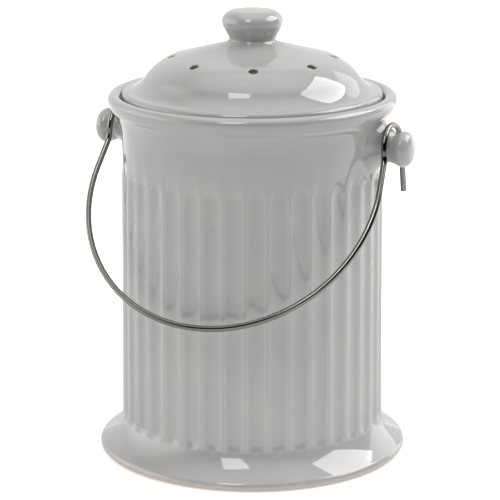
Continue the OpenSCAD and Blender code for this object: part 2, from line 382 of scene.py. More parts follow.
@dataclass(frozen=True)
class TinGlaze:
    """Glossy opaque glaze, dipped and fired on slip-cast stoneware.

    It gives a hard, wet gloss with a faint ripple, a lighter edge where it runs thin, partly a painted
    highlight, painted shade inside the vents, and a bare buff ring where the foot was wiped before firing.
    """

    colour: str = "#b5b4b1"
    pooled: str = "#b0b0af"
    # lighter colour of the edges: thinner glaze, and a painted highlight where edges catch the light
    thin_and_highlight: str = "#bdbbb6"
    bare_clay: str = "#b59a7a"
    bore: str = "#8a8375"  # painted shade inside a vent, where the deep bore lies in shade
    speck: str = "#8b867c"
    ior: float = 1.58
    coat: float = 0.4  # the clear skin over the opaque glaze
    coat_roughness: float = 0.025
    roughness: float = 0.05
    cloud: float = 34.0  # width of the faint clouds in the glaze
    ripple: float = 16.0  # length of the slow waves that bend a reflection
    ripple_depth: float = 0.06
    peel: float = 2.6  # grain of the skin, drawn coarser than the real 1 mm so that it shows
    peel_depth: float = 0.0016
    pinhole: float = 17.0  # distance between the places where a pinhole may be
    speck_share: float = 0.55  # how dark a pinhole is, from 0 to 1
    bare_height: float = 1.1  # the glaze was wiped off below this
    ragged_height: float = 0.7  # how far the edge of the glaze wanders up and down
    ragged_width: float = 4.0
    clay_grain: float = 0.8
    clay_depth: float = 0.12
    clay_roughness: float = 0.85

    def material(self) -> bpy.types.Material:
        """Makes the glaze.

        Returns:
            The material.
        """
        material, tree = new_tree("tin_glaze")
        place = add_node(tree, "ShaderNodeTexCoord").outputs["Object"]
        cloud = add_node(tree, "ShaderNodeTexNoise", {"Scale": per_mm(self.cloud), "Detail": 3.0}, {"Vector": place})
        pool = add_node(
            tree,
            "ShaderNodeMapRange",
            {"From Min": 0.4, "From Max": 0.62},
            {"Value": cloud.outputs["Fac"]},
        )
        glaze = add_node(
            tree,
            "ShaderNodeMix",
            {"data_type": "RGBA", 6: linear(self.colour), 7: linear(self.pooled)},
            {0: pool.outputs["Result"]},
        )
        # painted highlight, with the thin glaze, on ridge edges, the lip's crest and the vents' lips
        thin_and_highlight_share = add_node(tree, "ShaderNodeAttribute", {"attribute_name": Mark.THIN_AND_HIGHLIGHT.value})
        edge_highlighted = add_node(
            tree,
            "ShaderNodeMix",
            {"data_type": "RGBA", 7: linear(self.thin_and_highlight)},
            {0: thin_and_highlight_share.outputs["Fac"], 6: glaze.outputs[2]},
        )
        hole = add_node(
            tree,
            "ShaderNodeTexVoronoi",
            {"Scale": per_mm(self.pinhole), "Randomness": 1.0},
            {"Vector": place},
        )
        spot = add_node(
            tree,
            "ShaderNodeMapRange",
            {"From Min": 0.022, "From Max": 0.034, "To Min": self.speck_share, "To Max": 0.0},
            {"Value": hole.outputs["Distance"]},
        )
        specked = add_node(
            tree,
            "ShaderNodeMix",
            {"data_type": "RGBA", 7: linear(self.speck)},
            {0: spot.outputs["Result"], 6: edge_highlighted.outputs[2]},
        )
        # painted shade inside the vents
        in_bore = add_node(tree, "ShaderNodeAttribute", {"attribute_name": Mark.BORE_SHADE.value})
        bored = add_node(
            tree,
            "ShaderNodeMix",
            {"data_type": "RGBA", 7: linear(self.bore)},
            {0: in_bore.outputs["Fac"], 6: specked.outputs[2]},
        )
        bare = self.bare_share(tree, place)
        grain = add_node(
            tree,
            "ShaderNodeTexNoise",
            {"Scale": per_mm(self.clay_grain), "Detail": 4.0},
            {"Vector": place},
        )
        colour = add_node(
            tree,
            "ShaderNodeMix",
            {"data_type": "RGBA", 7: linear(self.bare_clay)},
            {0: bare, 6: bored.outputs[2]},
        )
        roughness = add_node(
            tree,
            "ShaderNodeMapRange",
            {"To Min": self.roughness, "To Max": self.clay_roughness},
            {"Value": bare},
        )
        shader = add_node(
            tree,
            "ShaderNodeBsdfPrincipled",
            {"IOR": self.ior, "Coat Weight": self.coat, "Coat Roughness": self.coat_roughness},
            {
                "Base Color": colour.outputs[2],
                "Roughness": roughness.outputs["Result"],
                "Normal": self.surface(tree, place, grain.outputs["Fac"], bare),
            },
        )
        add_node(tree, "ShaderNodeOutputMaterial", None, {"Surface": shader.outputs["BSDF"]})
        return material

    def bare_share(self, tree: bpy.types.NodeTree, place: bpy.types.NodeSocket) -> bpy.types.NodeSocket:
        """Finds where the glaze was wiped off the foot, along a slightly ragged line.

        Args:
            tree: The glaze's node tree.
            place: The point on the piece.

        Returns:
            1 on bare clay and 0 on glaze.
        """
        height = add_node(tree, "ShaderNodeSeparateXYZ", None, {0: place}).outputs["Z"]
        ragged = add_node(
            tree,
            "ShaderNodeTexNoise",
            {"Scale": per_mm(self.ragged_width), "Detail": 2.0},
            {"Vector": place},
        )
        lowest = (self.bare_height - self.ragged_height / 2) * MM
        edge = add_node(
            tree,
            "ShaderNodeMath",
            {"operation": "MULTIPLY_ADD", 1: self.ragged_height * MM, 2: lowest},
            {0: ragged.outputs["Fac"]},
        )
        below = add_node(tree, "ShaderNodeMath", {"operation": "SUBTRACT"}, {0: edge.outputs[0], 1: height})
        share = add_node(
            tree,
            "ShaderNodeMapRange",
            {"From Min": -0.08 * MM, "From Max": 0.08 * MM},
            {"Value": below.outputs[0]},
        )
        return share.outputs["Result"]

    def surface(
        self,
        tree: bpy.types.NodeTree,
        place: bpy.types.NodeSocket,
        grain: bpy.types.NodeSocket,
        bare: bpy.types.NodeSocket,
    ) -> bpy.types.NodeSocket:
        """Adds the slow ripple and the fine skin of the glaze, and the grain of the bare clay.

        Args:
            tree: The glaze's node tree.
            place: The point on the piece.
            grain: The grain of the clay.
            bare: 1 on bare clay and 0 on glaze.

        Returns:
            The normal.
        """
        ripple = add_node(tree, "ShaderNodeTexNoise", {"Scale": per_mm(self.ripple), "Detail": 1.0}, {"Vector": place})
        waves = add_node(
            tree,
            "ShaderNodeBump",
            {"Distance": self.ripple_depth * MM, "Strength": 1.0},
            {"Height": ripple.outputs["Fac"]},
        )
        peel = add_node(tree, "ShaderNodeTexNoise", {"Scale": per_mm(self.peel), "Detail": 1.0}, {"Vector": place})
        skin = add_node(
            tree,
            "ShaderNodeBump",
            {"Distance": self.peel_depth * MM, "Strength": 1.0},
            {"Height": peel.outputs["Fac"], "Normal": waves.outputs["Normal"]},
        )
        rough = add_node(
            tree,
            "ShaderNodeBump",
            {"Distance": self.clay_depth * MM},
            {"Height": grain, "Strength": bare, "Normal": skin.outputs["Normal"]},
        )
        return rough.outputs["Normal"]


@dataclass(frozen=True)
class DrawnSteel:
    """Stainless steel wire, drawn through a die and then bent cold.

    It gives a hard grey metal with fine bright and dark streaks along its length.
    """

    colour: str = "#918e89"
    scored: str = "#74716c"
    roughness: float = 0.1
    streak_width: float = 0.5  # drawn coarser than the real 0.05 mm so that it shows
    streak_length: float = 45.0
    streak_depth: float = 0.004

    def material(self) -> bpy.types.Material:
        """Makes the wire's finish. It reads the length along the wire and the way round it, in metres.

        Returns:
            The material.
        """
        material, tree = new_tree("drawn_steel")
        place = add_node(tree, "ShaderNodeUVMap", {"uv_map": "along_and_around"}).outputs["UV"]
        stretched = add_node(
            tree,
            "ShaderNodeMapping",
            {"Scale": (per_mm(self.streak_length), per_mm(self.streak_width), 1.0)},
            {"Vector": place},
        )
        streak = add_node(
            tree,
            "ShaderNodeTexNoise",
            {"Scale": 1.0, "Detail": 3.0, "Roughness": 0.6},
            {"Vector": stretched.outputs["Vector"]},
        )
        scored = add_node(
            tree,
            "ShaderNodeMapRange",
            {"From Min": 0.42, "From Max": 0.68},
            {"Value": streak.outputs["Fac"]},
        )
        colour = add_node(
            tree,
            "ShaderNodeMix",
            {"data_type": "RGBA", 6: linear(self.colour), 7: linear(self.scored)},
            {0: scored.outputs["Result"]},
        )
        roughness = add_node(
            tree,
            "ShaderNodeMapRange",
            {"To Min": self.roughness - 0.04, "To Max": self.roughness + 0.12},
            {"Value": scored.outputs["Result"]},
        )
        bump = add_node(
            tree,
            "ShaderNodeBump",
            {"Distance": self.streak_depth * MM, "Strength": 1.0},
            {"Height": streak.outputs["Fac"]},
        )
        shader = add_node(
            tree,
            "ShaderNodeBsdfPrincipled",
            {"Metallic": 1.0},
            {
                "Base Color": colour.outputs[2],
                "Roughness": roughness.outputs["Result"],
                "Normal": bump.outputs["Normal"],
            },
        )
        add_node(tree, "ShaderNodeOutputMaterial", None, {"Surface": shader.outputs["BSDF"]})
        return material


@dataclass(frozen=True)
class CarbonFelt:
    """Needled polyester felt, filled with activated charcoal.

    It gives a dull black nap with paler fibres and glinting grains of charcoal.
    """

    felt: str = "#2b2b2c"
    fibre: str = "#4a4a4b"
    charcoal: str = "#151515"
    roughness: float = 0.95
    charcoal_roughness: float = 0.45
    fibre_width: float = 0.5  # drawn coarser than the real 0.02 mm so that it shows
    grain: float = 1.4
    nap_depth: float = 0.35

    def material(self) -> bpy.types.Material:
        """Makes the felt.

        Returns:
            The material.
        """
        material, tree = new_tree("carbon_felt")
        place = add_node(tree, "ShaderNodeTexCoord").outputs["Object"]
        nap = add_node(
            tree,
            "ShaderNodeTexNoise",
            {"Scale": per_mm(self.fibre_width), "Detail": 4.0, "Distortion": 2.5},
            {"Vector": place},
        )
        grains = add_node(tree, "ShaderNodeTexVoronoi", {"Scale": per_mm(self.grain)}, {"Vector": place})
        fibres = add_node(
            tree,
            "ShaderNodeMapRange",
            {"From Min": 0.45, "From Max": 0.7},
            {"Value": nap.outputs["Fac"]},
        )
        felt = add_node(
            tree,
            "ShaderNodeMix",
            {"data_type": "RGBA", 6: linear(self.felt), 7: linear(self.fibre)},
            {0: fibres.outputs["Result"]},
        )
        filled = add_node(
            tree,
            "ShaderNodeMapRange",
            {"From Min": 0.18, "From Max": 0.26, "To Min": 1.0, "To Max": 0.0},
            {"Value": grains.outputs["Distance"]},
        )
        colour = add_node(
            tree,
            "ShaderNodeMix",
            {"data_type": "RGBA", 7: linear(self.charcoal)},
            {0: filled.outputs["Result"], 6: felt.outputs[2]},
        )
        roughness = add_node(
            tree,
            "ShaderNodeMapRange",
            {"To Min": self.roughness, "To Max": self.charcoal_roughness},
            {"Value": filled.outputs["Result"]},
        )
        bump = add_node(
            tree,
            "ShaderNodeBump",
            {"Distance": self.nap_depth * MM, "Strength": 0.8},
            {"Height": nap.outputs["Fac"]},
        )
        shader = add_node(
            tree,
            "ShaderNodeBsdfPrincipled",
            {"Sheen Weight": 0.25, "Sheen Roughness": 0.5},
            {
                "Base Color": colour.outputs[2],
                "Roughness": roughness.outputs["Result"],
                "Normal": bump.outputs["Normal"],
            },
        )
        add_node(tree, "ShaderNodeOutputMaterial", None, {"Surface": shader.outputs["BSDF"]})
        return material


# ---- Pot and lugs ----------------------------------------------------------


@dataclass
class Pot:
    """The fluted pot, from its flared foot to its rolled rim."""

    foot_r: float
    rim_z: float
    foot_out: float = 13.7
    draft: float = 1.2
    wall_t: float = 6.0
    floor_t: float = 7.0
    corner_r: float = 12.0
    rim_out: float = 8.0
    lip_t: float = 7.9
    flare_h: float = 25.0
    flare_angle: float = 43.0
    ledge_drop: float = 5.6
    foot_h: float = 20.0
    foot_slope: float = 35.0
    foot_edge_h: float = 5.6
    foot_ring_w: float = 8.0
    foot_hollow_h: float = 2.6
    flute_count: int = 38
    flute_w: float = 10.4
    flute_depth: float = 1.6
    flute_low_z: float = 15.4
    flute_drop: float = 44.6
    ridge_round: float = 0.9  # the glaze rounds the edges of the ridges off
    upright_l: float = 4.0  # the wall stands upright from this far above the flutes
    crest_highlight_share: float = 0.5  # how far the crest of the lip is painted lighter, as thin glaze and a painted highlight
    crest_highlight_width: float = 1.2
    edge_width: float = 0.35  # width over which the edge of a ridge is painted lighter, as thin glaze and a painted highlight
    row_h: float = 6.0  # height of a row of the mesh on the wall
    fine_row_h: float = 0.75  # and where the flutes begin and end
    flute_end_h: float = 9.0
    columns_per_flute: int = 16
    body_r: float = field(init=False)
    neck_r: float = field(init=False)
    rim_r: float = field(init=False)
    gallery_r: float = field(init=False)
    flute_top_z: float = field(init=False)
    draft_end_z: float = field(init=False)
    foot_widest: Point = field(init=False)
    wall: Outline = field(init=False)

    def __post_init__(self) -> None:
        """Works out the sizes that follow from the others."""
        self.body_r = self.foot_r - self.foot_out
        self.neck_r = self.body_r - self.draft
        self.rim_r = self.neck_r + self.rim_out
        self.gallery_r = self.rim_r - self.lip_t
        self.flute_top_z = self.rim_z - self.flute_drop
        self.draft_end_z = self.flute_top_z + self.upright_l
        self.foot_widest = (self.foot_r, 0.54 * self.foot_edge_h)
        self.wall = [(z, r) for r, z in [*self.flare(), *self.neck()]]

    def hollow_and_ring(self) -> Outline:
        """Draws the foot from the middle of its hollow round its blunt edge.

        Returns:
            The outline.
        """
        ring_out = self.foot_r - 0.68 * self.foot_edge_h
        ring_in = ring_out - self.foot_ring_w
        hollow = (ring_in - self.foot_hollow_h - 0.6, self.foot_hollow_h)
        return [
            (0, self.foot_hollow_h),
            hollow,
            *ease(hollow, 0, (ring_in, 0), -45, 4),
            *[(ring_in + (ring_out - ring_in) * i / 6, 0.0) for i in range(1, 7)],
            *ease((ring_out, 0), 0, self.foot_widest, 90),
        ]

    def flare(self) -> Outline:
        """Draws the foot from its widest part up to the wall.

        Returns:
            The outline.
        """
        top = (self.foot_r - 0.25 * self.foot_edge_h, self.foot_edge_h)
        return [
            *ease(self.foot_widest, 90, top, 180 - self.foot_slope, 8),
            *ease(top, 180 - self.foot_slope, (self.body_r, self.foot_h), 90, 40),
        ]

    def neck(self) -> Outline:
        """Draws the pot from the top of its draft up to the crest of the lip.

        Returns:
            The outline.
        """
        half = self.lip_t / 2
        flare_up = 90 - self.flare_angle
        flare_end = (self.rim_r - 0.64 * half, self.rim_z - 2.5 * half)
        neck = (self.neck_r, self.rim_z - self.flare_h)
        edge = (self.rim_r, self.rim_z - half)
        return [
            (self.neck_r, self.draft_end_z),
            neck,
            *ease(neck, 90, flare_end, flare_up, 24),
            *ease(flare_end, flare_up, edge, 90, 12),
            *ease(edge, 90, (self.rim_r - half, self.rim_z), 180, 10),
        ]

    def gallery(self) -> Outline:
        """Draws the pot from the crest of the lip down to the ledge that carries the lid.

        Returns:
            The outline.
        """
        half = self.lip_t / 2
        ledge_z = self.rim_z - self.ledge_drop
        bend = 0.8
        return [
            *ease((self.rim_r - half, self.rim_z), 180, (self.gallery_r, self.rim_z - half), -90, 10),
            (self.gallery_r, ledge_z + bend),
            *ease((self.gallery_r, ledge_z + bend), -90, (self.gallery_r - bend, ledge_z), -179, 4),
        ]

    def inside(self) -> Outline:
        """Draws the pot from the ledge down to the middle of its floor.

        Returns:
            The outline.
        """
        mouth_r = self.neck_r - self.wall_t
        low_r = self.body_r - self.wall_t
        ledge_z = self.rim_z - self.ledge_drop
        floor_z = self.foot_hollow_h + self.floor_t
        bend = self.wall_t / 4
        return [
            (mouth_r + bend, ledge_z),
            *ease((mouth_r + bend, ledge_z), 180, (mouth_r, ledge_z - bend), -90, 6),
            (mouth_r, self.draft_end_z),
            (low_r, floor_z + self.corner_r),
            *ease((low_r, floor_z + self.corner_r), -90, (low_r - self.corner_r, floor_z), 180, 14),
            (low_r * 0.4, floor_z),
            (0, floor_z),
        ]

    def wall_at(self, z: float) -> float:
        """Returns the radius of the outside of the pot at a height, without its flutes."""
        return read_off(self.wall, z)

    def flute_at(self, turn: float, z: float) -> float | None:
        """Finds the bottom of the nearest flute, which a leaned rod with round ends would leave.

        Args:
            turn: Angle from the middle of the flute, in radians.
            z: Height above the table.

        Returns:
            The radius of the rod's near side, or None where the rod doesn't reach.
        """
        sagitta = self.flute_depth - self.body_r * (1 - math.cos(math.asin(self.flute_w / 2 / self.body_r)))
        rod_r = ((self.flute_w / 2) ** 2 + sagitta**2) / (2 * sagitta)
        rod_x = self.body_r - self.flute_depth + rod_r
        arch = math.sqrt(rod_r**2 - (rod_x - self.body_r) ** 2)
        low = self.flute_low_z + 1.7 * arch
        high = self.flute_top_z - arch
        beyond = max(low - z, z - high, 0)
        if beyond >= rod_r:
            return None
        lean = self.draft / (self.draft_end_z - self.foot_h)
        x = rod_x - (min(max(z, low), high) - low) * lean
        across = rod_r**2 - beyond**2 - (x * math.sin(turn)) ** 2
        return x * math.cos(turn) - math.sqrt(across) if across > 0 else None

    def fluted(self, turn: float, r: float, z: float) -> float:
        """Returns the radius of the outside, with its flutes, where the wall's own radius is r."""
        flute = self.flute_at(turn, z)
        return r if flute is None else soft_least(r, flute, self.ridge_round)

    def skin(self) -> bpy.types.Object:
        """Builds the pot, and marks where its glaze runs thin and is painted lighter as a highlight.

        Returns:
            The piece, closed all round.
        """
        outside = [*self.hollow_and_ring(), *self.flare(), *self.neck(), *self.gallery()]
        outside = refine(outside, self.row_h, self.foot_h, self.draft_end_z)
        outside = refine(outside, self.fine_row_h, self.foot_h, self.flute_low_z + 2 * self.flute_end_h)
        outside = refine(outside, self.fine_row_h, self.flute_top_z - self.flute_end_h, self.flute_top_z + 1)
        pitch = 2 * math.pi / self.flute_count
        shares = [(i + 0.5) / self.columns_per_flute - 0.5 for i in range(self.columns_per_flute)]
        turns = [(flute + 0.5 + share) * pitch - math.pi / 2 for flute in range(self.flute_count) for share in shares]
        skin = Skin()
        thin_and_highlight: list[float] = []
        widest = len(self.hollow_and_ring())
        rings = []
        for row, (r, z) in enumerate([*outside, *self.inside()]):
            if r <= 0:
                continue
            carved = widest <= row < len(outside) and z < self.draft_end_z
            radii = [self.fluted(share * pitch, r, z) if carved else r for share in shares] * self.flute_count
            rings.append(skin.ring((wall_r * math.cos(t), wall_r * math.sin(t), z) for wall_r, t in zip(radii, turns)))
            # the crest of the lip and the edges of the ridges are marked for the thin glaze and its painted highlight
            above = (z - self.rim_z) / self.crest_highlight_width
            crest = self.crest_highlight_share * math.exp(-(above**2)) if row >= widest else 0.0
            shown = [max(crest, self.ridge_share(share * pitch, r, z) if carved else 0.0) for share in shares]
            thin_and_highlight += shown * self.flute_count
        for a, b in zip(rings, rings[1:]):
            skin.bridge(a, b)
        skin.cap(rings[0][::-1], (0, 0, self.foot_hollow_h))
        skin.cap(rings[-1], (0, 0, self.foot_hollow_h + self.floor_t))
        obj = skin.build("crock_skin")
        mark(obj, Mark.THIN_AND_HIGHLIGHT, dict(enumerate(thin_and_highlight)))
        return obj

    def ridge_share(self, turn: float, r: float, z: float) -> float:
        """Finds how far a point stands on the edge of a ridge.

        Args:
            turn: Angle from the middle of the flute, in radians.
            r: The wall's own radius there.
            z: Height above the table.

        Returns:
            From 0 in a flute or on the plain wall to 1 on the edge.
        """
        flute = self.flute_at(turn, z)
        return 0.0 if flute is None else math.exp(-(((r - flute) / self.edge_width) ** 2))


@dataclass
class Lug:
    """One lug: a round root that grows out of the wall, a neck, and a button at its end."""

    pot: Pot
    side: int
    lug_drop: float = 27.6
    root_d: float = 32.8
    root_rise: float = 2.0
    root_slope: float = 34.0
    neck_d: float = 16.8
    button_d: float = 21.4
    end_l: float = 13.0
    hook_out: float = 2.2
    wire_d: float = 3.6
    hook_gap: float = 0.45
    face_l: float = 5.2  # length of the root's face inside the seat of the hook
    skirt_l: float = 8.0  # the root runs on this far inside the wall, where the fillet hides it
    skirt_slope: float = 60.0
    bend: float = 1.8  # radius of the round between the root and the neck
    neck_short: float = 1.2  # the neck starts to flare this far before the middle of the hook
    belly_l: float = 6.0  # from the widest part of the button to its end
    flare_short: Point = (0.3, 1.6)  # the flare ends this far inside and before the widest part
    edge_in: Point = (2.6, 1.7)  # the round edge ends this far inside and before the end
    spread: float = 21.0  # radius at which the fillet has died away into the wall
    fillet: float = 3.2  # width over which the root and the wall run together
    sink: float = 0.012  # how far the skin lies inside the wall where the fillet has died away
    back_depth: float = 1.5  # how far inside the wall the back of the skin runs
    columns: int = 96
    root_rows: int = 30
    bend_rows: int = 6

    def middle_z(self) -> float:
        """Returns the height of the middle of the lug."""
        return self.pot.rim_z - self.lug_drop

    def hook_x(self) -> float:
        """Returns the distance of the middle of the hook from the axis of the pot."""
        return self.pot.rim_r + self.hook_out

    def root(self, hook_top: Point) -> list[Point]:
        """Draws the root as a table of its reach from the axis of the pot, by radius.

        Args:
            hook_top: Top of the hook, as its height above the lug and its distance from the axis.

        Returns:
            Pairs of radius and reach, with rising radius.
        """
        reach = self.wire_d / 2 + self.hook_gap
        slope = math.radians(self.root_slope)
        out = 90 + self.root_slope
        seat = (
            hook_top[0] - self.root_rise - reach * math.cos(slope),
            hook_top[1] - reach * math.sin(slope),
        )
        end = (seat[0] + self.face_l * heading(out)[0], seat[1] + self.face_l * heading(out)[1])
        foot = (self.root_d / 2, self.pot.neck_r + 0.5)
        drop = self.skirt_l * math.tan(math.radians(self.skirt_slope))
        skirt = (foot[0] + self.skirt_l, foot[1] - drop)
        return sorted([skirt, foot, *ease(foot, 150, seat, out), end, (0.0, end[1])])

    def neck_and_button(self) -> Outline:
        """Draws the neck and the button, out along the axis of the lug.

        Returns:
            Their outline, as pairs of radius and reach.
        """
        neck = self.neck_d / 2
        end_x = self.hook_x() + self.end_l
        widest = (self.button_d / 2, end_x - self.belly_l)
        flare_end = (widest[0] - self.flare_short[0], widest[1] - self.flare_short[1])
        edge = (widest[0] - self.edge_in[0], end_x - self.edge_in[1])
        neck_end = (neck, self.hook_x() - self.neck_short)
        return [
            neck_end,
            *ease(neck_end, 90, flare_end, 65, 14),
            *ease(flare_end, 65, widest, 90, 5),
            *ease(widest, 90, edge, 145, 14),
            *ease(edge, 145, (0, end_x), 180, 14)[:-1],
        ]

    def skin(self, name: str, hook_top: Point) -> bpy.types.Object:
        """Builds the lug, with a fillet of glaze where it meets the wall.

        Args:
            name: Name of the piece.
            hook_top: Top of the hook, as its height above the lug and its distance from the axis.

        Returns:
            The piece.
        """
        root = self.root(hook_top)
        neck = self.neck_d / 2
        neck_and_button = self.neck_and_button()
        rings: list[list[Vector]] = []
        turns = [heading(360 * i / self.columns) for i in range(self.columns)]

        def reach_at(radius: float, turn: Point) -> float:
            """Returns how far out the wall or the root reaches, at a radius from the lug's axis."""
            root_x = read_off(root, math.hypot(radius * turn[0], radius * turn[1] - self.root_rise))
            return soft_most(self.wall_x(radius, turn) - self.sink, root_x, self.fillet)

        for share in (0.25, 0.5, 0.75, 0.97):
            radius = share * self.spread
            rings.append([self.place(self.wall_x(radius, turn) - self.back_depth, radius, turn) for turn in turns])
        for i in range(self.root_rows + 1):
            radius = self.spread + (neck + self.bend - self.spread) * i / self.root_rows
            edge = 4 * self.sink if i == 0 else 0.0
            rings.append([self.place(reach_at(radius, turn) - edge, radius, turn) for turn in turns])
        for i in range(1, self.bend_rows + 1):
            t = i / self.bend_rows
            ring = []
            for turn in turns:
                low = reach_at(neck + self.bend, turn)
                corner = reach_at(neck, turn)
                x = (1 - t) ** 2 * low + 2 * t * (1 - t) * corner + t * t * (corner + self.bend)
                radius = (1 - t) ** 2 * (neck + self.bend) + 2 * t * (1 - t) * neck + t * t * neck
                ring.append(self.place(x, radius, turn))
            rings.append(ring)
        rings += [[self.place(x, radius, turn) for turn in turns] for radius, x in neck_and_button[1:]]
        skin = Skin()
        numbers = [skin.ring(ring) for ring in rings]
        for a, b in zip(numbers, numbers[1:]):
            skin.bridge(a, b)
        skin.cap(numbers[-1], self.place(self.hook_x() + self.end_l, 0, (1, 0)))
        skin.cap(numbers[0][::-1], self.place(self.wall_x(0, (1, 0)) - self.back_depth, 0, (1, 0)))
        return skin.build(name)

    def wall_x(self, radius: float, turn: Point) -> float:
        """Finds how far out the fluted wall of the pot reaches behind or beside the lug.

        Args:
            radius: Distance from the axis of the lug.
            turn: Direction about that axis, as a pair of cosine and sine.

        Returns:
            The distance of the wall from the middle plane of the pot, along X.
        """
        y, z = radius * turn[0], self.middle_z() + radius * turn[1]
        wall_r = self.pot.wall_at(z)
        pitch = 2 * math.pi / self.pot.flute_count
        share = (math.asin(y / wall_r) / pitch + 0.5) % 1 - 0.5
        wall_r = self.pot.fluted(share * pitch, wall_r, z)
        return math.sqrt(wall_r**2 - y * y)

    def place(self, x: float, radius: float, turn: Point) -> Vector:
        """Returns the point at a reach along the lug, a radius from its axis and a turn about it."""
        return Vector((self.side * x, radius * turn[0], self.middle_z() + radius * turn[1]))


# ---- Bail ------------------------------------------------------------------


@dataclass(frozen=True)
class Bend:
    """One row of the bail's bending table."""

    straight: float  # length of wire before the bend
    turn: float  # turn about the wire, in degrees
    angle: float  # angle of the bend, in degrees
    radius: float  # radius of the bend, to the middle of the wire


@dataclass
class Bail:
    """The wire bail: a large round, two legs, and a hook with a tail at each end."""

    lug: Lug
    hook_r: float = 13.8
    hook_twist: float = 6.0
    hook_rise: float = 1.0
    tail_l: float = 28.5
    leg_l: float = 16.0
    leg_bend_r: float = 10.0
    lean: float = 40.0
    half_round: float = 95.0
    crop: float = 0.35  # length over which a cropped end is rounded
    sides: int = 20
    step: float = 4.0  # degrees of bend between two rings of the skin

    def table(self, round_r: float) -> list[Bend]:
        """Lists the bends of one half of the bail, from the middle of its large round.

        Args:
            round_r: Radius of the large round.

        Returns:
            The bending table.
        """
        return [
            Bend(0, 0, self.half_round, round_r),
            Bend(self.leg_l, 90, self.lean, self.leg_bend_r),
            Bend(self.hook_rise, 180 - self.hook_twist, 180, self.hook_r),
            Bend(self.tail_l, 0, 0, 0),
        ]

    def start(self) -> Matrix:
        """Sets up the frame at the middle of the round: the wire runs along z and bends towards x.

        Returns:
            The frame.
        """
        lean = math.radians(self.lean)
        x = Vector((0, math.sin(lean), math.cos(lean)))
        y = Vector((0, -math.cos(lean), math.sin(lean)))
        z = Vector((1, 0, 0))
        return Matrix((x, y, z)).transposed().to_4x4()

    def bent(self, frame: Matrix, angle: float, radius: float) -> Matrix:
        """Returns the frame at the end of a bend that starts at this one.

        Args:
            frame: The frame where the bend starts.
            angle: Angle of the bend, in degrees.
            radius: Radius of the bend.

        Returns:
            The frame where it ends.
        """
        middle = Matrix.Translation((radius, 0, 0))
        return frame @ middle @ Matrix.Rotation(math.radians(angle), 4, "Y") @ middle.inverted()

    def half(self, round_r: float) -> tuple[list[Vector], list[Matrix]]:
        """Runs along one half of the wire.

        Args:
            round_r: Radius of the large round.

        Returns:
            Points along the wire, and the frame that each bend starts from.
        """
        frame = self.start()
        points = [frame.translation.copy()]
        starts = []
        for row in self.table(round_r):
            frame = frame @ Matrix.Translation((0, 0, row.straight)) @ Matrix.Rotation(math.radians(row.turn), 4, "Z")
            if row.straight:
                points.append(frame.translation.copy())
            starts.append(frame.copy())
            steps = math.ceil(row.angle / self.step)
            points += [self.bent(frame, row.angle * i / steps, row.radius).translation for i in range(1, steps + 1)]
            frame = self.bent(frame, row.angle, row.radius)
        return points, starts

    def placed(self) -> tuple[list[Vector], Point]:
        """Fits the bail between the lugs: the large round takes up the width that is left.

        Returns:
            Points along one half of the wire, in place, and the top of the hook as its height
            above the lug and its distance from the axis of the pot.
        """
        hook = self.half(0)[1][2]
        middle = hook @ Vector((self.hook_r, 0, 0))
        round_r = (self.lug.hook_x() - middle.x) / math.sin(math.radians(self.half_round))
        points, starts = self.half(round_r)
        middle = starts[2] @ Vector((self.hook_r, 0, 0))
        shift = Vector((0, -middle.y, self.lug.middle_z() - middle.z))
        along = starts[2].to_3x3() @ Vector((0, 0, self.hook_r))
        return [p + shift for p in points], (along.z, self.lug.hook_x() + along.x)

    def skin(self) -> bpy.types.Object:
        """Builds the wire, with its ends cropped and slightly rounded.

        Returns:
            The piece, with a map of the length along the wire and the way round it.
        """
        right = self.placed()[0]
        path = [Vector((-p.x, p.y, p.z)) for p in right[:0:-1]] + right
        radius = self.lug.wire_d / 2
        ends = [(path[0], path[1]), (path[-1], path[-2])]
        inner = [end + (near - end).normalized() * self.crop for end, near in ends]
        path = [path[0], inner[0], *path[1:-1], inner[1], path[-1]]
        radii = [radius - self.crop, *[radius] * (len(path) - 2), radius - self.crop]
        skin = Skin()
        side = Vector((0, 1, 0)).cross((path[1] - path[0]).normalized()).normalized()
        rings = []
        for i, (point, size) in enumerate(zip(path, radii)):
            ahead = (path[min(i + 1, len(path) - 1)] - path[max(i - 1, 0)]).normalized()
            side = (side - ahead * side.dot(ahead)).normalized()
            up = ahead.cross(side)
            turns = [heading(360 * k / self.sides) for k in range(self.sides)]
            rings.append(skin.ring(point + size * (c * side + s * up) for c, s in turns))
        for a, b in zip(rings, rings[1:]):
            skin.bridge(a, b)
        skin.cap(rings[0][::-1], path[0])
        skin.cap(rings[-1], path[-1])
        obj = skin.build("wire_bail")
        self.map_length(obj, path)
        return obj

    def map_length(self, obj: bpy.types.Object, path: Sequence[Vector]) -> None:
        """Lays a map on the wire, along its length and round it, in metres.

        Args:
            obj: The wire.
            path: The points that its rings stand on.
        """
        lengths = [0.0]
        for p, q in zip(path, path[1:]):
            lengths.append(lengths[-1] + (q - p).length * MM)
        layer = obj.data.uv_layers.new(name="along_and_around")
        girth = math.pi * self.lug.wire_d * MM
        for face in obj.data.polygons:
            columns = [v % self.sides for v in face.vertices]
            wraps = max(columns) - min(columns) > 1
            for loop, v, column in zip(face.loop_indices, face.vertices, columns):
                turn = column + (self.sides if wraps and column == 0 else 0)
                length = lengths[min(v // self.sides, len(path) - 1)]
                layer.data[loop].uv = (length, girth * turn / self.sides)


# ---- Lid -------------------------------------------------------------------


